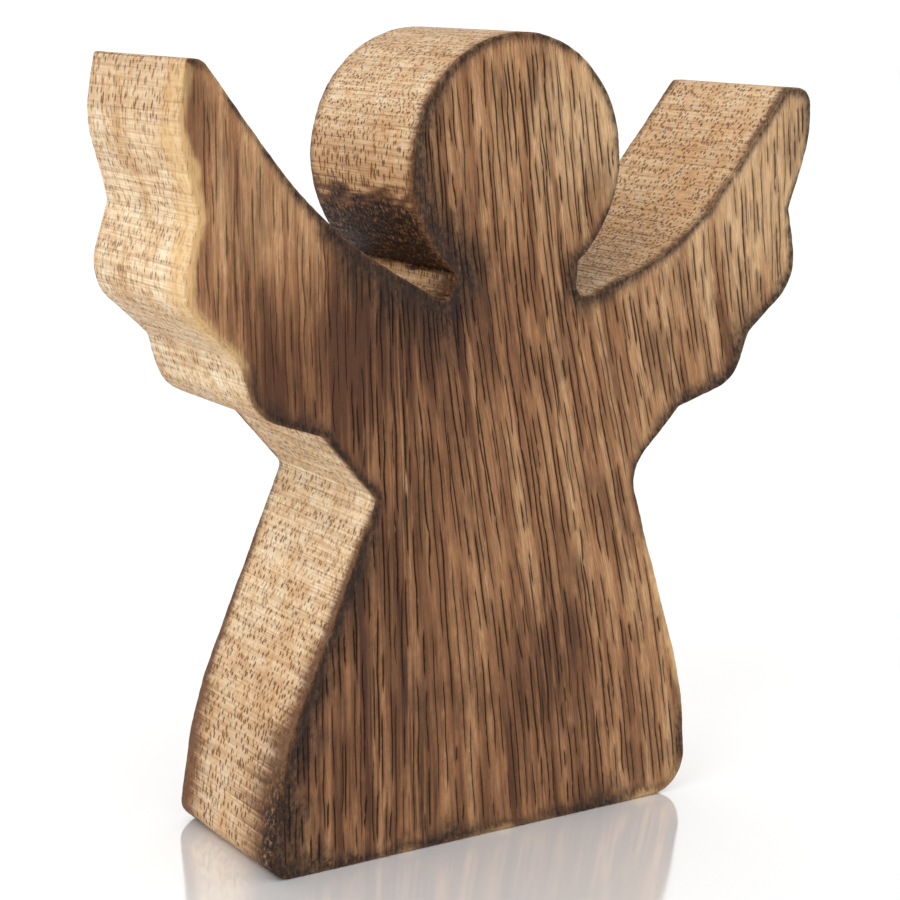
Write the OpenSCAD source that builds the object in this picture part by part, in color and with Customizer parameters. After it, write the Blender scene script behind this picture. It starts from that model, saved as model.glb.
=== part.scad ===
// Flat angel figurine, sawn along one outline from a single thick plank and stood on its lower edge.
// Millimetres. X runs across the wings, Y through the plank with the front face towards -Y,
// Z up. The origin is on the floor, midway between the wings and midway through the plank.
// The upper body hangs from the top of the head, down to the waist, and the hips are measured up from
// the floor, so a taller figure gets a longer gown. The wing's outer edge is measured in from the span.

/* [Plank] */
// Height of the figure, from the floor to the top of the head
figure_h = 140; // [110:1:240]
// Thickness of the plank
plank_t = 32; // [12:0.5:60]

/* [Head and neck] */
// Radius of the round head
head_r = 21.6; // [17:0.1:27]
// Sideways offset of the head from the middle, as it was sawn by eye
head_shift = -1.4; // [-4:0.1:4]
// Width of the neck between the two saw notches
neck_w = 25.8; // [16:0.1:34]
// Sideways offset of the neck from the middle
neck_shift = -0.6; // [-3:0.1:3]
// Length of neck that shows below the head, down to the floor of the notches
neck_h = 2.1; // [0.5:0.1:8]
// Radius in the floor of the neck notches
notch_r = 2.2; // [0.5:0.1:5]

/* [Wings] */
// Span across the widest point of the wings
wing_span = 130.6; // [108:0.2:180]
// Widest point of the wings below the top of the head
span_drop = 16.5; // [12:0.1:20]
// Radius of the upper feather at its widest point
span_r = 16; // [2:0.5:24]
// Depth of the dips between the upper and the middle feathers, in from the widest point
dip_depth = 4; // [0.5:0.1:10]
// Dips between the upper and the middle feathers below the top of the head
dip_drop = 29.8; // [26:0.1:34]
// Middle feathers, in from the widest point
middle_inset = 0.5; // [0:0.1:6]
// Middle feathers below the top of the head
middle_drop = 42.6; // [36:0.1:48]
// Radius of the middle feathers
middle_r = 9; // [1:0.5:14]
// Width across the upper cusps, between the middle and the lower feathers
upper_cusp_w = 107.4; // [92:0.2:130]
// Upper cusps below the top of the head
upper_cusp_drop = 52.2; // [49:0.1:56]
// Width across the lower feathers
lower_w = 101; // [86:0.2:124]
// Lower feathers below the top of the head
lower_drop = 61.3; // [58:0.1:64]
// Radius of the lower feathers
lower_r = 8; // [1:0.5:12]
// Width across the lower cusps, where the wings leave the body
lower_cusp_w = 75.2; // [60:0.2:92]
// Lower cusps below the top of the head
lower_cusp_drop = 65.4; // [62:0.1:70]
// Radius that breaks the sharp cusps and dips
cusp_r = 1; // [0.2:0.1:2]

/* [Left wing tip] */
// Top of the left wing below the top of the head
left_tip_drop = 6.2; // [2:0.1:10]
// Outer end of the left wing's top, in from the widest point
left_tip_inset = 1.5; // [0:0.1:8]
// Width of the left wing's top, from its outer to its inner end
left_tip_w = 2.8; // [1:0.1:14]
// Radius of the outer end
left_tip_out_r = 0.8; // [0.2:0.1:4]
// Radius of the inner end
left_tip_in_r = 2.2; // [0.2:0.1:4]
// Lowest stretch of the left shoulder line, from the middle
left_shoulder_x = 39.6; // [32:0.1:46]
// The same point below the top of the head
left_shoulder_drop = 31.4; // [28:0.1:36]
// Radius of the hollow left shoulder line
left_shoulder_r = 75; // [10:1:90]

/* [Right wing tip] */
// Top of the right wing below the top of the head
right_tip_drop = 7.7; // [3:0.1:11]
// Outer end of the right wing's top, in from the widest point
right_tip_inset = 0.7; // [0:0.1:8]
// Width of the right wing's top, from its outer to its inner end
right_tip_w = 6; // [1:0.1:14]
// Radius of the outer end
right_tip_out_r = 4.6; // [0.2:0.1:5]
// Radius of the inner end
right_tip_in_r = 0.8; // [0.2:0.1:4]
// Lowest stretch of the right shoulder line, from the middle
right_shoulder_x = 37.2; // [32:0.1:46]
// The same point below the top of the head
right_shoulder_drop = 35.2; // [30:0.1:38]
// Radius of the hollow right shoulder line
right_shoulder_r = 46; // [10:1:60]

/* [Gown] */
// Width of the gown at the floor
base_w = 91.8; // [76:0.2:120]
// Radius of the left corner at the floor
left_corner_r = 4; // [0.5:0.5:9]
// Radius of the right corner at the floor
right_corner_r = 7; // [0.5:0.5:9]
// Width of the gown at its hips
hip_w = 86.4; // [72:0.2:112]
// Height of the hips
hip_h = 22; // [19:0.5:28]
// Radius of the hips
hip_r = 60; // [5:1:70]
// Width of the waist
waist_w = 54.2; // [44:0.2:68]
// Waist below the top of the head
waist_drop = 76.4; // [70:0.1:84]
// Radius in the left side of the waist
left_waist_r = 1.2; // [0.2:0.1:8]
// Radius in the right side of the waist
right_waist_r = 6.4; // [0.2:0.1:8]

/* [Hidden] */
wood = "burlywood";
facet_len = 0.8;
head_z = figure_h - head_r;
notch_drop = 2 * head_r + neck_h;
wing_out = wing_span / 2;
$fn = 96;

// Arc from start to stop about a centre, the short way round
function arc(centre, radius, start, stop) =
    let (
        from = atan2(start.y - centre.y, start.x - centre.x),
        to = atan2(stop.y - centre.y, stop.x - centre.x),
        turn = to - from,
        sweep = turn > 180 ? turn - 360 : turn < -180 ? turn + 360 : turn,
        steps = max(3, ceil(abs(sweep) * radius * PI / 180 / facet_len))
    )
    [for (i = [0:steps]) centre + radius * [cos(from + sweep * i / steps), sin(from + sweep * i / steps)]];

// Corner b between a and c, rounded by radius r as far as half of each edge beside it allows
function rounded(a, b, c, r) =
    let (
        u = (a - b) / norm(a - b),
        v = (c - b) / norm(c - b),
        half_angle = acos(u * v) / 2,
        room = min(norm(a - b), norm(c - b)) / 2,
        reach = min(r / tan(half_angle), room),
        radius = reach * tan(half_angle),
        centre = b + (u + v) / norm(u + v) * radius / sin(half_angle)
    )
    arc(centre, radius, b + u * reach, b + v * reach);

// Closed outline through corners of the form [x, z, radius]
function round_corners(corners) =
    let (count = len(corners), at = [for (c = corners) [c.x, c.y]])
    [for (i = [0:count - 1])
        each rounded(at[(i + count - 1) % count], at[i], at[(i + 1) % count], corners[i].z)];

// Corners of one side from the floor up to the neck, at the distance each one has from the middle
function side(corner_r, waist_r, tip_drop, tip_inset, tip_out_r, tip_w, tip_in_r,
              shoulder_x, shoulder_drop, shoulder_r, neck_x) = [
    [base_w / 2, 0, corner_r],
    [hip_w / 2, hip_h, hip_r],
    [waist_w / 2, figure_h - waist_drop, waist_r],
    [lower_cusp_w / 2, figure_h - lower_cusp_drop, cusp_r],
    [lower_w / 2, figure_h - lower_drop, lower_r],
    [upper_cusp_w / 2, figure_h - upper_cusp_drop, cusp_r],
    [wing_out - middle_inset, figure_h - middle_drop, middle_r],
    [wing_out - dip_depth, figure_h - dip_drop, cusp_r],
    [wing_out, figure_h - span_drop, span_r],
    [wing_out - tip_inset, figure_h - tip_drop, tip_out_r],
    [wing_out - tip_inset - tip_w, figure_h - tip_drop, tip_in_r],
    [shoulder_x, figure_h - shoulder_drop, shoulder_r],
    [neck_x, figure_h - notch_drop, notch_r],
    [neck_x, head_z, 0.1]
];

right_side = side(right_corner_r, right_waist_r, right_tip_drop, right_tip_inset, right_tip_out_r,
    right_tip_w, right_tip_in_r, right_shoulder_x, right_shoulder_drop, right_shoulder_r,
    neck_w / 2 + neck_shift);
left_side = side(left_corner_r, left_waist_r, left_tip_drop, left_tip_inset, left_tip_out_r,
    left_tip_w, left_tip_in_r, left_shoulder_x, left_shoulder_drop, left_shoulder_r,
    neck_w / 2 - neck_shift);

// Left corners are listed from the neck down, so that the outline runs one way round
left_down = [for (i = [len(left_side) - 1:-1:0]) [-left_side[i].x, left_side[i].y, left_side[i].z]];

// Sawing line of the whole figure, drawn flat with Z as its second axis
module outline() {
    polygon(round_corners(concat(right_side, left_down)));
    translate([head_shift, head_z])
        circle(r = head_r);
}

// The figure: one plank, sawn through from face to face
module angel_body() {
    color(wood)
        translate([0, plank_t / 2, 0])
            rotate([90, 0, 0])
                linear_extrude(height = plank_t)
                    outline();
}

angel_body();
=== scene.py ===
import math

import bpy
import numpy as np
from mathutils import Matrix, Vector
from mathutils.geometry import delaunay_2d_cdt
from mathutils.kdtree import KDTree


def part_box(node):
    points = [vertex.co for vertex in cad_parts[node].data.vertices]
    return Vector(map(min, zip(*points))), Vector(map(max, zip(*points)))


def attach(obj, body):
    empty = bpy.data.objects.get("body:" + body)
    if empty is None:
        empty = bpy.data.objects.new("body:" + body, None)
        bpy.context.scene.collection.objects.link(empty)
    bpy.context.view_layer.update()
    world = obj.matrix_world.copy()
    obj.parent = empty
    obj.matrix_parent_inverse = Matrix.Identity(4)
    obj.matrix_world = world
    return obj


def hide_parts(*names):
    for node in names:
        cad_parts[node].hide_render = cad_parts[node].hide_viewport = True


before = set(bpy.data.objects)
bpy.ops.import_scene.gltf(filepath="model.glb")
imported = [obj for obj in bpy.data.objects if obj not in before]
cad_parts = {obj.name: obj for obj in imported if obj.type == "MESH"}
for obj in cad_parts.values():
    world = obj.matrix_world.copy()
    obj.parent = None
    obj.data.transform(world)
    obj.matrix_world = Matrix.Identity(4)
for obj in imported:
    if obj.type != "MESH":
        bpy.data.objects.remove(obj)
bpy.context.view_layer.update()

# A flat angel sawn from one thick plank. Its two broad faces are torched and brushed, and the sawn
# side all round is pale. Lengths below are millimetres unless a name says otherwise.
MM = 0.001
NODE = "angel_body"
FRONT_SEED = 7
BACK_SEED = 57

low, high = (np.array(corner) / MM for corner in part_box(NODE))
MIDDLE_X = (low[0] + high[0]) / 2
HALF_WIDTH = (high[0] - low[0]) / 2
FLOOR_Z = low[2]
HEIGHT = high[2] - low[2]
FRONT_Y = low[1]
BACK_Y = high[1]

# Noise: knots in its table of random values, and the primes that spread neighbouring knots over it
NOISE_KNOTS = 4096
NOISE_PRIMES = np.array([73856093, 19349663, 83492791])


def place(share_x, share_z):
    """A point of the figure: x as a share of half its width from the middle, z of its height."""
    return np.array([MIDDLE_X + share_x * HALF_WIDTH, FLOOR_Z + share_z * HEIGHT])


def smoothstep(value, start, end):
    """0 before start, 1 after end, and a smooth rise between them. It falls if end is below start."""
    t = np.clip((value - start) / (end - start), 0, 1)
    return t * t * (3 - 2 * t)


def noise(points, cell, seed):
    """Smooth value noise from -1 to 1 at points of 1 to 3 columns, with one knot each cell."""
    points = np.asarray(points, float)
    points = points.reshape(len(points), -1) / np.asarray(cell, float)
    table = np.random.default_rng(seed).uniform(-1, 1, NOISE_KNOTS)
    base = np.floor(points).astype(np.int64)
    part = points - base
    part = part * part * (3 - 2 * part)
    primes = NOISE_PRIMES[: points.shape[1]]
    total = np.zeros(len(points))
    for corner in np.ndindex(*(2,) * points.shape[1]):
        corner = np.array(corner)
        index = ((base + corner) * primes).sum(1) % NOISE_KNOTS
        total += table[index] * np.prod(np.where(corner, part, 1 - part), 1)
    return total


# ---- Camera -------------------------------------------------------------------------------------
CAMERA_AT = Vector((-205.34, -285.36, 139.16)) * MM
CAMERA_AZIMUTH = math.radians(-35.53)
CAMERA_ELEVATION = math.radians(11.67)
CAMERA_ROLL = math.radians(2.68)
CAMERA_LENS = 80.77
CAMERA_SENSOR = 36
NEAREST_METRES = 0.01
FARTHEST_METRES = 20


def make_camera():
    """Camera at the front left and slightly above, tilted a little."""
    a, e, r = CAMERA_AZIMUTH, CAMERA_ELEVATION, CAMERA_ROLL
    right = Vector((math.cos(a), math.sin(a), 0))
    up = Vector((-math.sin(e) * math.sin(a), math.sin(e) * math.cos(a), math.cos(e)))
    back = Vector((math.sin(a) * math.cos(e), -math.cos(a) * math.cos(e), math.sin(e)))
    turned_right = right * math.cos(r) + up * math.sin(r)
    turned_up = up * math.cos(r) - right * math.sin(r)
    turn = Matrix((turned_right, turned_up, back)).transposed().to_4x4()
    camera = bpy.data.objects.new("camera", bpy.data.cameras.new("camera"))
    camera.data.lens = CAMERA_LENS
    camera.data.sensor_width = CAMERA_SENSOR
    camera.data.clip_start = NEAREST_METRES
    camera.data.clip_end = FARTHEST_METRES
    camera.matrix_world = Matrix.Translation(CAMERA_AT) @ turn
    bpy.context.scene.collection.objects.link(camera)
    bpy.context.scene.camera = camera


# ---- Grain --------------------------------------------------------------------------------------
# A fibre is named by its x at this height. The names below run past both wings.
GRAIN_REF_Z = 70.0
LEFTMOST = -110
RIGHTMOST = 111
NAME_STEPS = 30
# Sideways run for each millimetre of height at the far left, and what is added to it from one name
# to another on the way to the right
LEFT_SLOPE = 0.075
SLOPE_CHANGES = [(0.165, -27, -4), (0.070, 2, 24), (-0.09, 42, 70)]
# The slope is fullest between these heights. It eases to EASED_FLOOR of itself at the floor, and to
# EASED_TOP of itself over EASE_SPAN above the upper height.
EASE_BELOW = 60.0
EASE_ABOVE = 76.0
EASE_SPAN = 40.0
EASED_FLOOR = 0.62
EASED_TOP = 0.66


def fibre_slope(name):
    """Sideways run of a fibre for each millimetre of height, where the slope is fullest."""
    slope = LEFT_SLOPE
    for change, start, end in SLOPE_CHANGES:
        slope = slope + change * smoothstep(name, start, end)
    return slope


def fibre_run(z):
    """Height from GRAIN_REF_Z over which the slope acts, shortened where the fibres stand straighter."""
    low_part = np.clip(z / EASE_BELOW, 0, 1)
    eased_low = (1 - EASED_FLOOR) * EASE_BELOW * (1 - low_part) ** 3 * (1 + low_part) / 2
    above = np.clip((z - EASE_ABOVE) / EASE_SPAN, 0, None)
    high_part = np.minimum(above, 1)
    eased_high = (1 - EASED_TOP) * EASE_SPAN * (high_part ** 3 - high_part ** 4 / 2 + above - high_part)
    return z - GRAIN_REF_Z + eased_low - eased_high


def fibre_x(name, z):
    """x of the named fibres at heights z."""
    return name - fibre_slope(name) * fibre_run(z)


def fibre_name(x, z):
    """Name of the fibre at each point, found by repeated correction."""
    name = np.asarray(x, float)
    for _ in range(NAME_STEPS):
        name = x + fibre_slope(name) * fibre_run(z)
    return name


# ---- Outline ------------------------------------------------------------------------------------
OUTLINE_STEP = 0.42
# A vertex this near the front plane lies on it, and vertices equal to so many decimals are welded
ON_FRONT = 0.01
WELD_DECIMALS = 3


def front_corners():
    """Corners of the CAD plank's front outline as a loop of (x, z), anticlockwise from the front."""
    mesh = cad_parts[NODE].data
    mesh.calc_loop_triangles()
    corners = np.array([v.co for v in mesh.vertices]) / MM
    _, first, weld = np.unique(
        np.round(corners, WELD_DECIMALS), axis=0, return_index=True, return_inverse=True)
    weld = weld.ravel()
    edges = set()
    for triangle in mesh.loop_triangles:
        ids = list(triangle.vertices)
        if all(abs(corners[i][1] - FRONT_Y) < ON_FRONT for i in ids):
            a, b, c = (int(weld[i]) for i in ids)
            edges.update([(a, b), (b, c), (c, a)])
    after = {a: b for a, b in edges if (b, a) not in edges}
    start = min(after)
    loop = [start]
    while after[loop[-1]] != start:
        loop.append(after[loop[-1]])
    points = corners[first[loop]][:, [0, 2]]
    area = np.sum(points[:, 0] * np.roll(points[:, 1], -1) - np.roll(points[:, 0], -1) * points[:, 1])
    return points[::-1] if area < 0 else points


def even_loop(points):
    """Points at even steps along a closed loop, and how far along it each one is."""
    lengths = np.linalg.norm(np.roll(points, -1, 0) - points, axis=1)
    along = np.concatenate([[0], np.cumsum(lengths)])
    closed = np.vstack([points, points[:1]])
    count = int(round(along[-1] / OUTLINE_STEP))
    at = np.arange(count) * along[-1] / count
    return np.stack([np.interp(at, along, closed[:, k]) for k in (0, 1)], 1), at


def blur(values, reach):
    """Loop values averaged over reach neighbours each way."""
    return sum(np.roll(values, k, 0) for k in range(-reach, reach + 1)) / (2 * reach + 1)


OUTLINE, ARC = even_loop(front_corners())
TANGENT = blur(np.roll(OUTLINE, -1, 0) - np.roll(OUTLINE, 1, 0), 2)
TANGENT /= np.linalg.norm(TANGENT, axis=1)[:, None]
OUTWARD = np.stack([TANGENT[:, 1], -TANGENT[:, 0]], 1)
# A circle of the outline's own length, so that noise along the loop has no seam
TURN = 2 * math.pi * ARC / (ARC[-1] + OUTLINE_STEP)
ROUND = np.stack([np.cos(TURN), np.sin(TURN)], 1) * ARC[-1] / 2 / math.pi


def around(across):
    """Noise points round the outline and across the plank."""
    return np.hstack([ROUND, np.asarray(across)[:, None]])


# ---- Smoke, wear and char along the edge, with a painted highlight and painted shade ------------
# Smoke on the face along its edge: where, over what radius, and how many millimetres wide
FACE_SOOT = [
    (-0.38, 0.73, 14, 5.2), (-0.22, 0.68, 9, 3.4), (0.22, 0.68, 9, 2.4), (-0.36, 0.86, 15, 2.2),
    (-0.68, 0.57, 10, 2.2), (0.76, 0.66, 14, 1.4), (0.93, 0.66, 8, 1.6), (0.80, 0.59, 9, 2.4),
    (0.60, 0.54, 10, 2.0), (-0.68, 0.04, 15, 6.2), (-0.62, 0.20, 13, 3.8), (-0.54, 0.34, 10, 2.4),
    (0.36, 0.0, 12, 2.6), (-0.12, 0.0, 11, 3.0), (0.62, 0.04, 9, 0.8), (0.30, 0.93, 14, 0.5),
    (-0.45, 0.40, 9, 1.6), (0.93, 0.93, 10, 0.7), (0.66, 0.10, 8, 0.9),
]
# Edge of the face rubbed pale, and partly a painted highlight on the rounded edge: where, over what
# radius, and how many millimetres wide
FACE_WEAR_AND_HIGHLIGHT = [
    (0.66, 0.25, 22, 0.8), (0.60, 0.01, 7, 0.7), (-0.98, 0.83, 13, 0.6), (-0.98, 0.74, 13, 0.6),
    (-0.97, 0.93, 9, 0.35), (0.05, 0.0, 12, 0.4), (-0.30, 0.0, 7, 0.4), (-0.83, 0.62, 12, 0.5),
]
# Brown scorch that reaches from the face's edge across the sawn side, in millimetres
SIDE_BURN = [
    (-0.70, 0.02, 16, 6.5), (-0.66, 0.13, 13, 3.0), (-0.60, 0.27, 18, 1.6), (-0.50, 0.57, 7, 1.6),
    (0.68, 0.04, 14, 3.0), (0.92, 0.94, 9, 1.2), (-0.25, 0.70, 12, 5.0),
]
# Char under the round head, partly painted shade there, and on the sawn side near the front: where, over
# what radius, how strong
HEAD_CHAR_AND_SHADE = [(-0.31, 0.755, 10, 1.2), (-0.25, 0.725, 9, 1.2), (0.30, 0.765, 9, 0.7), (0.21, 0.72, 8, 0.9)]
SIDE_CHAR = [(-0.69, 0.01, 13, 1.3), (0.68, 0.02, 9, 0.6), (-0.27, 0.70, 9, 0.8), (-0.66, 0.09, 8, 0.4)]
# Smoke and scorch that run all along the edge, where no mark above widens them
SOOT_LINE = 0.42
BURN_LINE = 0.5
# The scorch is narrower by this factor at the back
BACK_BURN = 0.6


def bumps(points, marks):
    """Sum of round soft marks, each (share_x, share_z, radius, value), at (x, z) points."""
    total = np.zeros(len(points))
    for share_x, share_z, radius, value in marks:
        gap = np.linalg.norm(points - place(share_x, share_z), axis=1)
        total += value * np.exp(-((gap / radius) ** 2))
    return total


def soot_along():
    """Width of the smoke along the outline."""
    marks = bumps(OUTLINE, FACE_SOOT) * (1 + 0.4 * noise(ROUND, cell=3, seed=15))
    broad_waver = 0.30 * noise(ROUND, cell=5, seed=11)
    fine_waver = 0.25 * noise(ROUND, cell=1.6, seed=12)
    return np.clip(SOOT_LINE + marks + broad_waver + fine_waver, 0.02, None)


def wear_and_highlight_along():
    """Width of the rubbed strip, partly a painted highlight, along the outline, only where the edge faces
    outward or down.
    """
    outward_x = OUTWARD[:, 0] * np.sign(OUTLINE[:, 0] - MIDDLE_X)
    exposed = smoothstep(outward_x - OUTWARD[:, 1], -0.1, 0.3)
    marks = bumps(OUTLINE, FACE_WEAR_AND_HIGHLIGHT) * (1 + 0.5 * noise(ROUND, cell=4, seed=13))
    return np.clip(marks - 0.1, 0, None) * exposed


def burn_along():
    """Reach of the brown scorch across the sawn side, along the outline."""
    return np.clip(BURN_LINE + bumps(OUTLINE, SIDE_BURN) + 0.3 * noise(ROUND, cell=7, seed=14), 0.2, None)


SOOT_WIDTH = soot_along()
WEAR_AND_HIGHLIGHT_WIDTH = wear_and_highlight_along()
BURN_WIDTH = burn_along()


def char_scorch_and_shade(across, from_front, comb):
    """Black char and brown scorch of one ring: under the head, where they are partly painted shade on the
    side that faces down, and near the face where marks put it.
    """
    fine = noise(np.hstack([1.2 * ROUND, from_front[:, None]]), cell=1.3, seed=68)
    downward = 0.24 * (0.5 * across + fine) - OUTWARD[:, 1]
    head = bumps(OUTLINE, HEAD_CHAR_AND_SHADE)
    # Where the side under the head faces down it darkens: partly char, partly painted shade
    under = head * smoothstep(downward, 0.10, 0.62)
    under_char_and_shade = smoothstep(under, 0.10, 0.90) * smoothstep(from_front, 0.2, 1.6)
    side_black = bumps(OUTLINE, SIDE_CHAR) * smoothstep((from_front + 2 * across) / comb, 9, 0)
    scorch_and_shade = 0.75 * smoothstep(head * smoothstep(downward, -0.02, 0.55), 0.0, 0.8)
    return np.maximum(under_char_and_shade, side_black), scorch_and_shade


def ring_marks(y):
    """What the material needs at one ring of the sawn side, which lies at y across the plank."""
    from_front = y - FRONT_Y
    from_back = BACK_Y - y
    near = np.minimum(from_front, from_back)
    reach = np.where(from_front < from_back, BURN_WIDTH, BACK_BURN * BURN_WIDTH)
    across = noise(around(from_front), cell=(2.5, 2.5, 5), seed=66)
    comb = 1 + 0.35 * noise(ROUND, cell=0.8, seed=67)
    # The rubbed strip reaches onto the side; its pale is partly a painted highlight
    rubbed_and_highlit = np.clip(1.5 * WEAR_AND_HIGHLIGHT_WIDTH, 0, 1) * smoothstep(from_front + 2.5 * across, 11, 1)
    flame = np.exp(-(near / (1.1 * reach * comb)) ** 1.4) * (1 - rubbed_and_highlit)
    # Under the head the char and scorch are partly painted shade; they go into the face tint and the soot
    # below
    char_and_shade, scorch_and_shade = char_scorch_and_shade(across, from_front, comb)
    rim_soot = 0.92 * np.exp(-near / 0.35) * smoothstep(SOOT_WIDTH, 0.1, 0.6) * (1 - rubbed_and_highlit)
    return {
        "face_tint": np.maximum(flame, scorch_and_shade),
        "soot": np.clip(np.maximum(char_and_shade, rim_soot), 0, 1),
        "wear_and_highlight": rubbed_and_highlit,
        "pore": np.zeros(len(y)),
        "shadow": np.zeros(len(y)),
        "broad": smoothstep(from_front, 0.45, 0.0),
        "end_grain": abs(OUTWARD[:, 1]) ** 1.5,
        "around": ROUND,
    }


def face_marks(points, pore_share, away, nearest, seed):
    """What the material needs at points of a broad face, at known distances from its edge."""
    uneven = 1 + 0.35 * noise(points, cell=1.3, seed=seed)
    width = np.maximum(SOOT_WIDTH[nearest] * uneven, 0.05)
    smoke = 0.97 * np.exp(-(away / width) ** 2) * smoothstep(width, 0.0, 0.5)
    # Rubbed strip of the face, painted pale partly as a highlight on the rounded edge
    worn_and_highlit = WEAR_AND_HIGHLIGHT_WIDTH[nearest] * (1.6 * uneven - 0.6)
    rubbed_and_highlit = smoothstep(worn_and_highlit - away, -0.9, 0.7) * smoothstep(worn_and_highlit, 0.0, 0.3)
    return {
        "face_tint": np.ones(len(points)),
        "soot": np.clip(smoke * (1 - rubbed_and_highlit), 0, 1),
        "wear_and_highlight": rubbed_and_highlit,
        "pore": pore_share[:, 0],
        "shadow": pore_share[:, 1],
        "broad": np.ones(len(points)),
        "end_grain": np.zeros(len(points)),
        "around": ROUND[nearest],
    }


# ---- Sawn side ----------------------------------------------------------------------------------
EDGE_STEPS = 4
SIDE_RINGS = 15
EDGE_RADIUS = 0.42
EDGE_LIMITS = (0.12, 1.4)
# More radius for each millimetre that the edge is rubbed, up to this width
RUBBED_RADIUS = 0.55
RUBBED_MOST = 1.6
# Room for a broken edge is TURN_ROOM over the outline's outward turn, in radians for each millimetre.
# A straight or hollow stretch counts as LEAST_TURN.
LEAST_TURN = 0.02
TURN_ROOM = 0.55
SAW_DEPTH = 0.10


def edge_room():
    """Radius of broken edge that each place on the outline has room for."""
    heading = np.unwrap(np.arctan2(TANGENT[:, 1], TANGENT[:, 0]))
    turning = np.clip(np.gradient(heading) / OUTLINE_STEP, LEAST_TURN, None)
    tightest = np.minimum.reduce([np.roll(TURN_ROOM / turning, k) for k in range(-4, 5)])
    return blur(tightest, 3)


def edge_radius(seed):
    """Radius of the broken edge along the outline, larger where it is rubbed."""
    coarse = 0.10 * noise(ROUND, cell=3, seed=seed)
    fine = 0.08 * noise(ROUND, cell=0.9, seed=seed + 1)
    radius = EDGE_RADIUS + coarse + fine + RUBBED_RADIUS * np.minimum(WEAR_AND_HIGHLIGHT_WIDTH, RUBBED_MOST)
    return np.clip(blur(np.minimum(radius, edge_room()), 1), *EDGE_LIMITS)


def side_relief(y, stands):
    """Depth of the saw's cut below the CAD side, at y across the plank, and none where it stands."""
    wander = 0.08 * noise(around(y), cell=(6, 6, 22), seed=21)
    ridge = 0.055 * noise(around(y), cell=(0.62, 0.62, 40), seed=22)
    step = 0.05 * noise(around(y), cell=(2.3, 2.3, 25), seed=23)
    return np.clip(SAW_DEPTH + wander + ridge + step, 0, None) * (1 - stands)


def side_rings():
    """Rings of the sawn side from the front edge to the back one, each as its (x, z) points and its y."""
    front_r = edge_radius(31)
    back_r = edge_radius(35)
    stands = smoothstep(-OUTWARD[:, 1], 0.95, 0.999) * smoothstep(-OUTLINE[:, 1], -1.0, -0.2)
    turns = [math.pi / 2 * k / EDGE_STEPS for k in range(EDGE_STEPS + 1)]
    rings = []
    for turn in turns:
        rings.append((front_r * (1 - math.sin(turn)), FRONT_Y + front_r * (1 - math.cos(turn))))
    for k in range(1, SIDE_RINGS):
        share = k / SIDE_RINGS
        y = (FRONT_Y + front_r) * (1 - share) + (BACK_Y - back_r) * share
        rings.append((np.zeros(len(OUTLINE)), y))
    for turn in reversed(turns):
        rings.append((back_r * (1 - math.sin(turn)), BACK_Y - back_r * (1 - math.cos(turn))))
    return [(OUTLINE - OUTWARD * (inset + side_relief(y, stands))[:, None], y) for inset, y in rings]


def side_quads(levels, count):
    """Quads between neighbouring rings, with their corners in the order that faces them outward."""
    index = np.arange(count)
    after = (index + 1) % count
    quads = []
    for k in range(levels - 1):
        here = k * count
        there = here + count
        quads.append(np.stack([here + index, there + index, there + after, here + after], 1))
    return np.vstack(quads)


# ---- Pores --------------------------------------------------------------------------------------
PORE_PITCH = 1.22
# Mean and spread of the logarithm of a pore's length, and of the gap to the next one
PORE_LENGTH = (2.75, 0.55)
PORE_LONGEST = 44
PORE_GAP = (1.0, 0.7)
PORE_OFFSET = 0.42
PORE_HALF_WIDTH = (0.10, 0.25)
PORE_DEPTH = (0.22, 0.45)
PORE_STEP = 1.6
PORE_WOBBLE = 0.24
# Pores stay this far inside the face, in runs of at least so many points
PORE_MARGIN = 0.6
PORE_LEAST_RUN = 4
# On the left wing, on both faces, pores lose up to this share of their depth and darkness. The loss
# grows over these distances left of the middle, and over these heights.
WING_FADE = 0.5
WING_FADE_X = (22, 46)
WING_FADE_Z = (64, 84)
# Shadow beside a pore, and how far it reaches
RIM_SHADOW = 0.75
SHADOW_REACH = 0.75
# Points of the net nearer than this to a pore's middle are left out
CLEAR_OF_PORE = 0.42


def pore_strokes(seed):
    """Long open vessels on a broad face, each one an array of (x, z, half width, depth)."""
    random = np.random.default_rng(seed)
    strokes = []
    for name in np.arange(LEFTMOST, RIGHTMOST, PORE_PITCH):
        z = FLOOR_Z - random.uniform(0, 25)
        while z < HEIGHT:
            length = min(PORE_LONGEST, random.lognormal(*PORE_LENGTH))
            gap = random.lognormal(*PORE_GAP)
            offset = random.uniform(-PORE_OFFSET, PORE_OFFSET)
            half = random.uniform(*PORE_HALF_WIDTH)
            depth = random.uniform(*PORE_DEPTH)
            along = np.linspace(0, 1, max(5, int(length / PORE_STEP)))
            heights = z + along * length
            wobble = PORE_WOBBLE * noise(heights + 300 * random.random(), cell=5, seed=seed + 1)
            x = fibre_x(name + offset, heights) + wobble
            taper = np.minimum(1, 2.4 * np.sin(np.pi * along)) ** 0.8
            strokes.append(np.stack([x, heights, half * taper + 0.02, depth * taper], 1))
            z += length + gap
    return strokes


def groove(part):
    """Rows of (x, z, depth, pore share, shadow) down the middle of a pore, and along its two rims."""
    ahead = np.gradient(part[:, :2], axis=0)
    ahead /= np.linalg.norm(ahead, axis=1)[:, None]
    aside = np.stack([ahead[:, 1], -ahead[:, 0]], 1) * part[:, 2:3]
    share = np.minimum(1, 2.0 * np.sin(np.pi * np.linspace(0, 1, len(part))))
    faded = WING_FADE * smoothstep(-part[:, 0], *WING_FADE_X) * smoothstep(part[:, 1], *WING_FADE_Z)
    share = share * (1 - faded)
    middle = np.stack([part[:, 0], part[:, 1], part[:, 3] * share, share, share], 1)
    rims = [with_shadow(part[1:-1, :2] + way * aside[1:-1], RIM_SHADOW * share[1:-1]) for way in (1, -1)]
    return middle, rims


def with_shadow(points, shadow):
    """Rows of (x, z, depth, pore share, shadow) for uncut points."""
    return np.stack([*points.T, 0 * shadow, 0 * shadow, shadow], 1)


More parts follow.
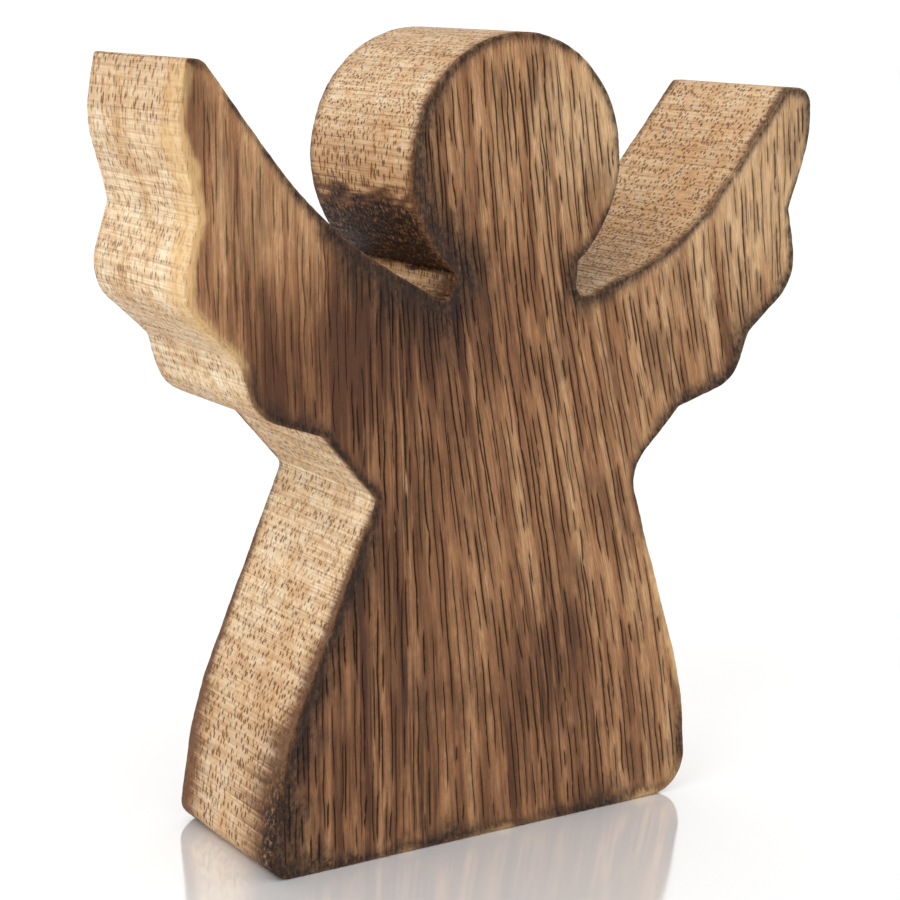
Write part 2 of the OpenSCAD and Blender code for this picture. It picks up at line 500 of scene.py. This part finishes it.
# ---- Broad faces --------------------------------------------------------------------------------
FACE_ACROSS = 0.85
FACE_ALONG = 2.6
# Rows of the net start below the floor and end above the head, by this much
FACE_OVERRUN = 3
BORDER_RINGS = (0.5, 1.1, 1.9, 3.0)
# The net keeps this far inside the last ring, and the rings this far inside the edge
NET_GAP = 0.3
RING_GAP = 0.4
# The net is made with heights divided by this, so that its triangles are long along the grain
ALONG_GRAIN = 3
CDT_TOLERANCE = 1e-7
BRUSH_DEPTH = 0.09


def search_tree(points):
    """Tree that finds the nearest of (x, z) points."""
    tree = KDTree(len(points))
    for i, (x, z) in enumerate(points):
        tree.insert((x, z, 0), i)
    tree.balance()
    return tree


def nearest_gap(points, others):
    """Distance from each point to the nearest of others."""
    tree = search_tree(others)
    return np.array([tree.find((x, z, 0))[2] for x, z in points])


class Loop:
    """Closed loop along the outline that answers where points lie beside it."""

    def __init__(self, points):
        self.points = points
        self.tree = search_tree(points)

    def near(self, points):
        """Distance to the loop, the nearest loop point, and whether each point is inside."""
        found = [self.tree.find((x, z, 0)) for x, z in points]
        nearest = np.array([index for _, index, _ in found], int)
        away = np.array([distance for _, _, distance in found])
        side = ((points - self.points[nearest]) * OUTWARD[nearest]).sum(1)
        return away, nearest, side < 0

    def runs_inside(self, stroke):
        """Runs of a stroke's points that lie inside the loop."""
        away, _, inside = self.near(stroke[:, :2])
        keep = inside & (away > PORE_MARGIN)
        runs = np.split(np.arange(len(stroke)), np.where(np.diff(keep.astype(int)))[0] + 1)
        return [stroke[run] for run in runs if len(run) >= PORE_LEAST_RUN and keep[run[0]]]


def net_points(loop):
    """Points that fill a face: a net along the fibres, and rings along the face's edge."""
    net = []
    for k, name in enumerate(np.arange(LEFTMOST, RIGHTMOST, FACE_ACROSS)):
        stagger = (k % 2) * FACE_ALONG / 2
        z = np.arange(FLOOR_Z - FACE_OVERRUN + stagger, HEIGHT + FACE_OVERRUN, FACE_ALONG)
        net.append(np.stack([fibre_x(np.full(len(z), name), z), z], 1))
    net = np.vstack(net)
    away, _, inside = loop.near(net)
    net = net[inside & (away > BORDER_RINGS[-1] + NET_GAP)]
    rings = np.vstack([loop.points - OUTWARD * reach for reach in BORDER_RINGS])[::2]
    away, _, inside = loop.near(rings)
    rings = rings[inside & (away > RING_GAP)]
    return np.vstack([net, rings])


def face_rows(loop, strokes):
    """Points of a face as rows of (x, z, depth, pore share, shadow), with the edges that it must keep."""
    total = len(loop.points)
    rows = [np.hstack([loop.points, np.zeros((total, 3))])]
    edges = [(i, (i + 1) % total) for i in range(total)]
    middles = []
    for stroke in strokes:
        for part in loop.runs_inside(stroke):
            middle, rims = groove(part)
            line = list(range(total, total + len(middle)))
            edges += list(zip(line, line[1:]))
            rows.append(middle)
            total += len(middle)
            for rim in rims:
                path = [line[0], *range(total, total + len(rim)), line[-1]]
                edges += list(zip(path, path[1:]))
                rows.append(rim)
                total += len(rim)
            middles.append(middle[:, :2])
    net = net_points(loop)
    gaps = nearest_gap(net, np.vstack(middles))
    clear = gaps > CLEAR_OF_PORE
    rows.append(with_shadow(net[clear], RIM_SHADOW * np.exp(-(gaps[clear] / SHADOW_REACH) ** 2)))
    return np.vstack(rows), edges


def face_relief(name, z, away):
    """Depth of the brushed surface below the CAD face, which fades to none at its edge."""
    spots = np.stack([name, z], 1)
    brushed = noise(spots, cell=(1.9, 26), seed=41) + 0.5 * noise(spots, cell=(0.9, 14), seed=42)
    swell = noise(spots, cell=(14, 30), seed=43)
    return np.clip(BRUSH_DEPTH + 0.055 * brushed + 0.05 * swell, 0, None) * smoothstep(away, 0, 1.5)


def make_face(edge, seed):
    """One broad face: points, triangles, depth, (pore share, shadow), distance to the edge, where, rim."""
    loop = Loop(edge)
    rows, kept_edges = face_rows(loop, pore_strokes(seed))
    flat = np.stack([fibre_name(rows[:, 0], rows[:, 1]), rows[:, 1] / ALONG_GRAIN], 1)
    made = delaunay_2d_cdt([Vector(p) for p in flat], kept_edges, [], 1, CDT_TOLERANCE)
    flat = np.array([tuple(v) for v in made[0]])
    name, z = flat[:, 0], flat[:, 1] * ALONG_GRAIN
    found = np.stack([fibre_x(name, z), z, 0 * z, 0 * z, 0 * z], 1)
    origin = np.array([ids[0] if ids else -1 for ids in made[3]])
    known = origin >= 0
    found[known] = rows[origin[known]]
    triangles = np.array([tuple(f) for f in made[2]])
    away, nearest, _ = loop.near(found[:, :2])
    rim = np.where(known & (origin < len(edge)), origin, -1)
    away[rim >= 0] = 0
    nearest[rim >= 0] = rim[rim >= 0]
    depth = found[:, 2] + face_relief(name, z, away)
    return found[:, :2], triangles, depth, found[:, 3:], away, nearest, rim


# ---- Dark streaks and tones ---------------------------------------------------------------------
# Dark streaks of the front face: the places that each one runs through, its radius and its strength
VEINS = [
    ([(-0.42, 0.71), (-0.38, 0.64), (-0.35, 0.52), (-0.34, 0.40), (-0.31, 0.20), (-0.25, 0.08), (-0.22, 0)],
     2.3, 0.80),
    ([(-0.43, 0.72), (-0.36, 0.58), (-0.34, 0.42), (-0.30, 0.22), (-0.24, 0.08), (-0.21, 0)], 0.9, 1.0),
    ([(-0.50, 0.34), (-0.44, 0.24), (-0.40, 0.14)], 2.0, 0.65),
    ([(-0.60, 0.82), (-0.50, 0.68), (-0.45, 0.58), (-0.46, 0.50)], 1.5, 0.70),
    ([(-0.42, 0.18), (-0.38, 0.10), (-0.33, 0)], 1.5, 0.6),
    ([(0.12, 0.30), (0.17, 0.23), (0.22, 0.16)], 5.5, 0.55),
    ([(-0.88, 0.86), (-0.84, 0.78), (-0.80, 0.70)], 2.0, 0.45),
    ([(0.02, 0.98), (0.06, 0.86), (0.10, 0.76)], 2.2, 0.35),
]
VEIN_POINTS = 60
VEIN_SHAKE = 1.6
# Lighter and darker zones of the torched face: where, over what radius, and how much
FACE_TONE = [
    (0.24, 0.90, 16, 0.25), (0.84, 0.82, 19, 0.28), (0.55, 0.68, 14, 0.05), (-0.82, 0.80, 16, 0.09),
    (-0.28, 0.66, 18, -0.08), (0.02, 0.70, 10, -0.04), (-0.42, 0.30, 18, -0.08), (0.18, 0.22, 11, -0.09),
    (0.0, 0.03, 20, -0.05), (0.50, 0.30, 13, 0.07), (0.15, 0.48, 16, 0.05), (-0.60, 0.60, 14, -0.17),
    (-0.12, 0.88, 8, 0.03), (0.62, 0.08, 9, 0.04), (-0.06, 0.28, 10, 0.04), (-0.55, 0.12, 15, -0.07),
]
# Browner zones of the sawn side: where, over what radius, and how much
SIDE_TONE = [
    (-0.66, 0.12, 28, 0.42), (0.75, 0.86, 20, 0.40), (0.45, 0.72, 14, 0.30), (-0.33, 0.83, 9, 0.46),
    (-0.10, 0.99, 16, 0.22), (-0.98, 0.93, 10, 0.36), (-0.27, 0.70, 9, 0.34),
]
MOST_SIDE_TONE = 0.8
# The front's streaks and tones fade out over this depth in front of the plank's middle
FRONT_FADE = 4


def vein_strength(points):
    """Strength of the dark streaks at (x, z) points, from 0 to 1."""
    total = np.zeros(len(points))
    sideways = VEIN_SHAKE * noise(points, cell=(6, 9), seed=51)
    shaken = points + np.stack([sideways, 0 * sideways], 1)
    for shares, radius, value in VEINS:
        path = np.array([place(*share) for share in shares])
        t = np.linspace(0, len(path) - 1, VEIN_POINTS)
        line = np.stack([np.interp(t, np.arange(len(path)), path[:, k]) for k in (0, 1)], 1)
        total = np.maximum(total, value * np.exp(-(nearest_gap(shaken, line) / radius) ** 2))
    return total


# ---- One closed mesh ----------------------------------------------------------------------------
def build_mesh():
    """Closed mesh of the figure, with what the material needs stored at its vertices."""
    rings = side_rings()
    ring_xz = np.array([ring for ring, _ in rings])
    ring_y = np.array([y for _, y in rings])
    levels, count = ring_y.shape
    points = [np.stack([xz[:, 0], y, xz[:, 1]], 1) for xz, y in zip(ring_xz, ring_y)]
    marks = [ring_marks(y) for y in ring_y]
    quads = side_quads(levels, count)

    triangles = []
    total = levels * count
    for level, seed, y0, way in ((0, FRONT_SEED, FRONT_Y, 1), (levels - 1, BACK_SEED, BACK_Y, -1)):
        found, corners, depth, pore_share, away, nearest, rim = make_face(ring_xz[level], seed)
        new = np.where(rim < 0)[0]
        at = np.zeros(len(found), int)
        at[new] = total + np.arange(len(new))
        at[rim >= 0] = level * count + rim[rim >= 0]
        triangles.append(at[corners][:, ::way])
        points.append(np.stack([found[new, 0], y0 + way * depth[new], found[new, 1]], 1))
        marks.append(face_marks(found[new], pore_share[new], away[new], nearest[new], seed=62 + level))
        total += len(new)
    points = np.vstack(points)
    points[:, 2] = np.maximum(points[:, 2], FLOOR_Z)

    mesh = bpy.data.meshes.new("angel")
    faces = [tuple(face) for face in quads.tolist() + np.vstack(triangles).tolist()]
    mesh.from_pydata((points * MM).tolist(), [], faces)
    mesh.update()
    lay_out(mesh, ring_xz, ring_y, len(quads), len(triangles[0]))
    store_marks(mesh, points, {key: np.concatenate([mark[key] for mark in marks]) for key in marks[0]})
    mesh.shade_smooth()
    return mesh


def store_marks(mesh, points, marks):
    """Keeps the marks, the streaks and tones, and the grain's and the saw's own coordinates."""
    across = marks.pop("around")
    for name, values in marks.items():
        store(mesh, name, values)
    flat = points[:, [0, 2]]
    in_front = smoothstep(-points[:, 1], 0, FRONT_FADE)
    store(mesh, "vein", vein_strength(flat) * in_front)
    store(mesh, "tone", bumps(flat, FACE_TONE) * in_front)
    store(mesh, "side_tone", np.clip(bumps(flat, SIDE_TONE), 0, MOST_SIDE_TONE))
    store(mesh, "saw", np.stack([across[:, 0], points[:, 1], across[:, 1]], 1))
    store(mesh, "grain", np.stack([fibre_name(points[:, 0], points[:, 2]), points[:, 1], points[:, 2]], 1))


def store(mesh, name, values):
    """Keeps one number, or one vector, at each vertex for the material."""
    vector = values.ndim == 2
    attribute = mesh.attributes.new(name, "FLOAT_VECTOR" if vector else "FLOAT", "POINT")
    attribute.data.foreach_set("vector" if vector else "value", values.astype(np.float32).ravel())


# Strips that the sawn side is cut into on the texture map, and the gap kept between its islands
MAP_STRIPS = 3
MAP_GAP = 0.008


def lay_out(mesh, ring_xz, ring_y, quad_count, front_count):
    """Texture map for baking: the two faces side by side, above the sawn side in strips."""
    levels, count = ring_y.shape
    scale = (1 - 3 * MAP_GAP) / 2 / (2 * HALF_WIDTH)
    steps = np.hypot(np.linalg.norm(np.diff(ring_xz, axis=0), axis=2), np.diff(ring_y, axis=0)).mean(1)
    across = np.concatenate([[0], np.cumsum(steps)])
    strip_height = across[-1] * scale + MAP_GAP
    per_strip = -(-count // MAP_STRIPS)
    level = np.repeat(np.arange(levels - 1), count)[:, None] + [0, 1, 1, 0]
    column = np.tile(np.arange(count), levels - 1)[:, None]
    strip = column // per_strip
    u = MAP_GAP + (column + [0, 0, 1, 1] - strip * per_strip) * OUTLINE_STEP * scale
    v = MAP_GAP + strip * strip_height + (across[-1] - across[level]) * scale
    side_spots = np.stack([u.ravel(), v.ravel()], 1)

    corners = np.empty(len(mesh.loops), int)
    mesh.loops.foreach_get("vertex_index", corners)
    at = np.empty(3 * len(mesh.vertices))
    mesh.vertices.foreach_get("co", at)
    at = at.reshape(-1, 3)[corners[4 * quad_count:]] / MM
    is_front = np.arange(len(at)) < 3 * front_count
    front_u = MAP_GAP + (at[:, 0] - low[0]) * scale
    back_u = (1 + MAP_GAP) / 2 + (high[0] - at[:, 0]) * scale
    face_v = MAP_GAP + MAP_STRIPS * strip_height + (at[:, 2] - FLOOR_Z) * scale
    face_spots = np.stack([np.where(is_front, front_u, back_u), face_v], 1)
    layer = mesh.uv_layers.new(name="OFBake")
    layer.data.foreach_set("uv", np.vstack([side_spots, face_spots]).astype(np.float32).ravel())


# ---- Material -----------------------------------------------------------------------------------
def colour(red, green, blue):
    """Linear RGBA of an 8-bit display colour."""
    share = [c / 255 for c in (red, green, blue)]
    return (*[c / 12.92 if c <= 0.04045 else ((c + 0.055) / 1.055) ** 2.4 for c in share], 1.0)


# Colours from dark to light, each at its place in the pattern that picks it
TORCHED_RAMP = [
    (0.37, colour(90, 57, 38)), (0.45, colour(134, 92, 62)), (0.53, colour(169, 121, 83)),
    (0.62, colour(198, 152, 109)), (0.75, colour(221, 181, 136)),
]
SAWN_RAMP = [(0.35, colour(218, 180, 134)), (0.47, colour(249, 219, 177)), (0.60, colour(255, 239, 208))]
# The char under the round head takes these colours too, and is partly painted shade
CHAR_RAMP = [
    (0.45, colour(13, 9, 7)), (0.52, colour(32, 21, 15)), (0.57, colour(104, 70, 44)),
    (0.63, colour(166, 118, 74)),
]
# Torched faces
DARK_FIBRE = colour(88, 56, 35)
SMOKED_WOOD = colour(88, 60, 42)
VEIN_BROWN = colour(62, 41, 30)
SMALL_PORE = colour(86, 56, 40)
PORE_SHADOW = colour(84, 54, 36)
PORE_FLOOR = colour(48, 29, 18)
SOOT_DARK = colour(24, 18, 16)
SOOT_LIGHT = colour(48, 36, 30)
# Sawn side
SIDE_BROWN = colour(172, 120, 70)
END_GRAIN = colour(176, 132, 86)
SIDE_PATCH = colour(204, 150, 92)
FINE_ROW = colour(180, 134, 88)
FLECK = colour(160, 112, 70)
DASH = colour(122, 80, 47)
SAW_ROW = colour(160, 112, 68)
# Its edges
# The scorch under the round head is partly painted shade
SCORCHED = colour(108, 68, 40)
# Pale of the rubbed edges, which also paints a highlight on them
RUBBED_PALE_AND_HIGHLIGHT = colour(232, 192, 134)
# Heights of the two bumps, in metres
FIBRE_BUMP = 0.00022
SAW_BUMP = 0.0008


class Graph:
    """A material's nodes, made one by one and linked as they are made."""

    def __init__(self, name):
        self.material = bpy.data.materials.new(name)
        self.material.use_nodes = True
        self.tree = self.material.node_tree
        self.tree.nodes.clear()

    def node(self, kind, inputs=None, **settings):
        made = self.tree.nodes.new(kind)
        for key, value in settings.items():
            setattr(made, key, value)
        for key, value in (inputs or {}).items():
            if isinstance(value, bpy.types.NodeSocket):
                self.tree.links.new(value, made.inputs[key])
            else:
                made.inputs[key].default_value = value
        return made

    def attribute(self, name, output="Fac"):
        return self.node("ShaderNodeAttribute", attribute_name=name).outputs[output]

    def math(self, operation, first, second=0.0, third=0.0):
        return self.node("ShaderNodeMath", {0: first, 1: second, 2: third}, operation=operation).outputs[0]

    def times(self, first, second):
        return self.math("MULTIPLY", first, second)

    def plus(self, first, factor, second):
        """first times factor, plus second."""
        return self.math("MULTIPLY_ADD", first, factor, second)

    def scaled(self, vector, scale):
        return self.node("ShaderNodeVectorMath", {0: vector, 1: scale}, operation="MULTIPLY").outputs[0]

    def noise(self, vector, scale, detail, roughness, distortion=0.0):
        """Noise with about scale features per unit along each axis of vector."""
        made = self.node("ShaderNodeTexNoise", {
            "Vector": self.scaled(vector, scale), "Scale": 1.0, "Detail": detail, "Roughness": roughness,
            "Distortion": distortion})
        return made.outputs["Fac"]

    def cells(self, vector, scale):
        """Distance to the nearest of scattered points, scale of them per unit along each axis."""
        made = self.node("ShaderNodeTexVoronoi", {"Vector": self.scaled(vector, scale), "Scale": 1.0})
        return made.outputs["Distance"]

    def rise(self, value, start, end, low_value=0.0, high_value=1.0):
        """low_value before start, high_value after end, and a smooth change between them."""
        made = self.node("ShaderNodeMapRange", {
            "Value": value, "From Min": start, "From Max": end, "To Min": low_value, "To Max": high_value},
            interpolation_type="SMOOTHSTEP")
        return made.outputs["Result"]

    def mix(self, share, first, second):
        """Colour between first and second."""
        made = self.node("ShaderNodeMix", data_type="RGBA")
        for index, value in ((0, share), (6, first), (7, second)):
            if isinstance(value, bpy.types.NodeSocket):
                self.tree.links.new(value, made.inputs[index])
            else:
                made.inputs[index].default_value = value
        return made.outputs[2]

    def ramp(self, value, stops):
        made = self.node("ShaderNodeValToRGB", {"Fac": value})
        elements = made.color_ramp.elements
        while len(elements) < len(stops):
            elements.new(0.5)
        for element, (position, shade) in zip(elements, stops):
            element.position = position
            element.color = shade
        return made.outputs["Color"]

    def bump(self, height, strength, distance, normal=None):
        inputs = {"Height": height, "Strength": strength, "Distance": distance}
        if normal is not None:
            inputs["Normal"] = normal
        return self.node("ShaderNodeBump", inputs).outputs["Normal"]

    def finish(self, **inputs):
        shader = self.node("ShaderNodeBsdfPrincipled", inputs)
        self.node("ShaderNodeOutputMaterial", {"Surface": shader.outputs[0]})
        return self.material


class Wood(Graph):
    """Open-pored wood: torched and brushed on the broad faces, pale and freshly sawn on the side."""

    def __init__(self):
        super().__init__("flamed_wood")
        grain = self.attribute("grain", "Vector")
        saw = self.attribute("saw", "Vector")
        self.broad = self.attribute("broad")
        self.end_grain = self.attribute("end_grain")
        # Growth bands, streaks and fibres along the grain, and uneven patches, grit and specks
        self.bands = self.noise(grain, (0.38, 0.3, 0.016), 3.0, 0.55)
        self.streaks = self.noise(grain, (1.7, 1.5, 0.045), 4.0, 0.62)
        self.fibres = self.noise(grain, (5.0, 5.0, 0.22), 2.0, 0.6)
        self.patches = self.noise(grain, (0.09, 0.09, 0.05), 3.0, 0.55, 0.4)
        self.smoky = self.noise(grain, (0.14, 0.14, 0.05), 4.0, 0.6)
        self.grit = self.noise(grain, (3.0, 3.0, 1.6), 3.0, 0.7)
        self.speck = self.noise(grain, (1.3, 1.3, 0.9), 4.0, 0.75)
        # Small vessels between the big cut ones, as thin tubes along the grain
        self.small = self.rise(self.cells(grain, (1.15, 1.15, 0.085)), 0.20, 0.12)
        self.dash = self.rise(self.cells(grain, (1.5, 1.5, 0.50)), 0.46, 0.24)
        self.fleck = self.rise(self.cells(grain, (2.6, 2.6, 0.70)), 0.42, 0.22)
        # The saw's rows across the plank
        self.rows = self.noise(saw, (0.95, 0.03, 0.95), 2.0, 0.55)
        self.row = self.rise(self.rows, 0.42, 0.60)
        self.fine_rows = self.noise(saw, (3.2, 0.05, 3.2), 1.0, 0.5)
        self.cut = self.rise(self.plus(self.grit, 0.25, self.attribute("pore")), 0.12, 0.80)

    def torched(self):
        """Colour of the torched faces."""
        tone = self.plus(self.bands, 0.60, self.times(self.streaks, 0.32))
        tone = self.plus(self.patches, 0.14, tone)
        tone = self.math("ADD", tone, self.attribute("tone"))
        wood = self.ramp(tone, TORCHED_RAMP)
        wood = self.mix(self.rise(self.fibres, 0.40, 0.66, 0.0, 0.36), wood, DARK_FIBRE)
        wood = self.mix(self.rise(self.smoky, 0.50, 0.68, 0.0, 0.52), wood, SMOKED_WOOD)
        vein = self.times(self.attribute("vein"), self.rise(self.streaks, 0.55, 0.42, 0.10, 1.0))
        wood = self.mix(vein, wood, VEIN_BROWN)
        wood = self.mix(self.times(self.small, 0.50), wood, SMALL_PORE)
        shadow = self.times(self.attribute("shadow"), self.rise(self.streaks, 0.25, 0.65, 0.35, 1.0))
        wood = self.mix(self.times(shadow, 0.56), wood, PORE_SHADOW)
        return self.mix(self.times(self.cut, 0.88), wood, PORE_FLOOR)

    def sawn(self):
        """Colour of the pale sawn side."""
        side_tone = self.attribute("side_tone")
        tone = self.plus(self.streaks, 0.45, self.times(self.bands, 0.55))
        wood = self.ramp(tone, SAWN_RAMP)
        wood = self.mix(side_tone, wood, SIDE_BROWN)
        wood = self.mix(self.times(self.end_grain, 0.42), wood, END_GRAIN)
        wood = self.mix(self.rise(self.patches, 0.50, 0.64, 0.0, 0.35), wood, SIDE_PATCH)
        wood = self.mix(self.rise(self.fine_rows, 0.48, 0.62, 0.0, 0.36), wood, FINE_ROW)
        wood = self.mix(self.times(self.fleck, 0.26), wood, FLECK)
        dotted = self.plus(self.row, 0.50, self.plus(self.end_grain, 0.35, 0.26))
        dotted = self.plus(side_tone, 1.0, dotted)
        dotted = self.math("MINIMUM", self.times(self.dash, dotted), 1.0)
        wood = self.mix(dotted, wood, DASH)
        return self.mix(self.times(self.row, 0.22), wood, SAW_ROW)

    def flamed(self, torched, sawn):
        """Both colours joined, with brown scorch, rubbed strips partly painted as a highlight, and char or
        soot on the edges; under the head the char and scorch are partly painted shade.
        """
        # The tint brings in the scorch, which under the head is partly painted shade
        tint = self.plus(self.fine_rows, 0.50, self.attribute("face_tint"))
        side = self.mix(self.rise(tint, 0.25, 1.0, 0.0, 0.92), sawn, SCORCHED)
        shade = self.mix(self.broad, side, torched)
        # Pale rub along the edges, partly a painted highlight
        rub_and_highlight = self.plus(self.streaks, 0.5, self.attribute("wear_and_highlight"))
        shade = self.mix(self.rise(rub_and_highlight, 0.35, 1.35, 0.0, 0.66), shade, RUBBED_PALE_AND_HIGHLIGHT)
        # On the side under the head this char is partly painted shade
        black = self.times(self.attribute("soot"), self.rise(self.speck, 0.30, 0.65, 1.20, 0.72))
        soot = self.mix(self.streaks, SOOT_DARK, SOOT_LIGHT)
        burnt = self.mix(self.broad, self.ramp(self.speck, CHAR_RAMP), soot)
        return self.mix(self.math("MINIMUM", black, 0.94), shade, burnt)

    def relief(self):
        """Normal bent by fibres, small pores and grit, and by the saw's rows on the side."""
        height = self.plus(self.streaks, 0.5, self.times(self.fibres, 0.25))
        height = self.math("SUBTRACT", height, self.times(self.small, 0.45))
        height = self.math("SUBTRACT", height, self.times(self.dash, 0.90))
        height = self.plus(self.grit, 0.2, height)
        normal = self.bump(height, 0.6, FIBRE_BUMP)
        on_side = self.math("SUBTRACT", 1.0, self.broad)
        rough_rows = self.times(self.rows, self.plus(self.end_grain, 1.5, on_side))
        return self.bump(rough_rows, 0.9, SAW_BUMP, normal)

    def make(self):
        """The finished material, a little glossier where the grit is low and dull inside pores."""
        return self.finish(**{
            "Base Color": self.flamed(self.torched(), self.sawn()),
            "Roughness": self.rise(self.grit, 0.35, 0.70, 0.50, 0.70),
            "Normal": self.relief(),
            "Specular IOR Level": self.plus(self.cut, -0.12, 0.18),
        })


# ---- Stage --------------------------------------------------------------------------------------
# How mirror-like the floor is near the figure, and the distances in metres over which this fades out
POLISH_NEAR = 0.41
POLISH_FADE = (0.045, 0.20)
FLOOR_COLOUR = (0.96, 0.96, 0.96, 1)
FLOOR_ROUGHNESS = 0.10
FLOOR_IOR = 1.3
FLOOR_REACH_METRES = 60.0
WORLD_STRENGTH = 1.05
# One lamp at the upper left, in metres and watts
KEY_AT = (-0.9, -0.35, 0.95)
KEY_SIZE = 0.6
KEY_POWER = 4


def make_floor():
    """Pale floor, most polished close to the figure."""
    g = Graph("floor")
    spot = g.node("ShaderNodeTexCoord").outputs["Object"]
    away = g.node("ShaderNodeVectorMath", {0: spot}, operation="LENGTH").outputs["Value"]
    material = g.finish(**{
        "Base Color": FLOOR_COLOUR, "Roughness": FLOOR_ROUGHNESS, "IOR": FLOOR_IOR,
        "Metallic": g.rise(away, *POLISH_FADE, POLISH_NEAR, 0.0)})
    mesh = bpy.data.meshes.new("floor")
    r = FLOOR_REACH_METRES
    mesh.from_pydata([(-r, -r, 0), (r, -r, 0), (r, r, 0), (-r, r, 0)], [], [(0, 1, 2, 3)])
    mesh.materials.append(material)
    floor = bpy.data.objects.new("floor", mesh)
    floor.location.z = FLOOR_Z * MM
    bpy.context.scene.collection.objects.link(floor)


def make_key_light():
    """Square soft lamp at the upper left, aimed at the middle of the figure."""
    lamp = bpy.data.lights.new("key", "AREA")
    lamp.shape = "SQUARE"
    lamp.size = KEY_SIZE
    lamp.energy = KEY_POWER
    light = bpy.data.objects.new("key", lamp)
    light.location = KEY_AT
    light.rotation_mode = "QUATERNION"
    centre = Vector((MIDDLE_X * MM, 0, HEIGHT * MM / 2))
    light.rotation_quaternion = (centre - Vector(KEY_AT)).to_track_quat("-Z", "Y")
    bpy.context.scene.collection.objects.link(light)


def make_surroundings():
    """White surroundings, shown with their plain colours."""
    world = bpy.data.worlds.new("white")
    world.use_nodes = True
    background = world.node_tree.nodes["Background"]
    background.inputs["Color"].default_value = (1, 1, 1, 1)
    background.inputs["Strength"].default_value = WORLD_STRENGTH
    bpy.context.scene.world = world
    bpy.context.scene.view_settings.view_transform = "Standard"


def make_figure():
    """The figure, which stands for the CAD plank."""
    figure = bpy.data.objects.new("angel", build_mesh())
    figure.data.materials.append(Wood().make())
    bpy.context.scene.collection.objects.link(figure)
    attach(figure, "root")
    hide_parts(NODE)


make_camera()
make_figure()
make_floor()
make_surroundings()
make_key_light()
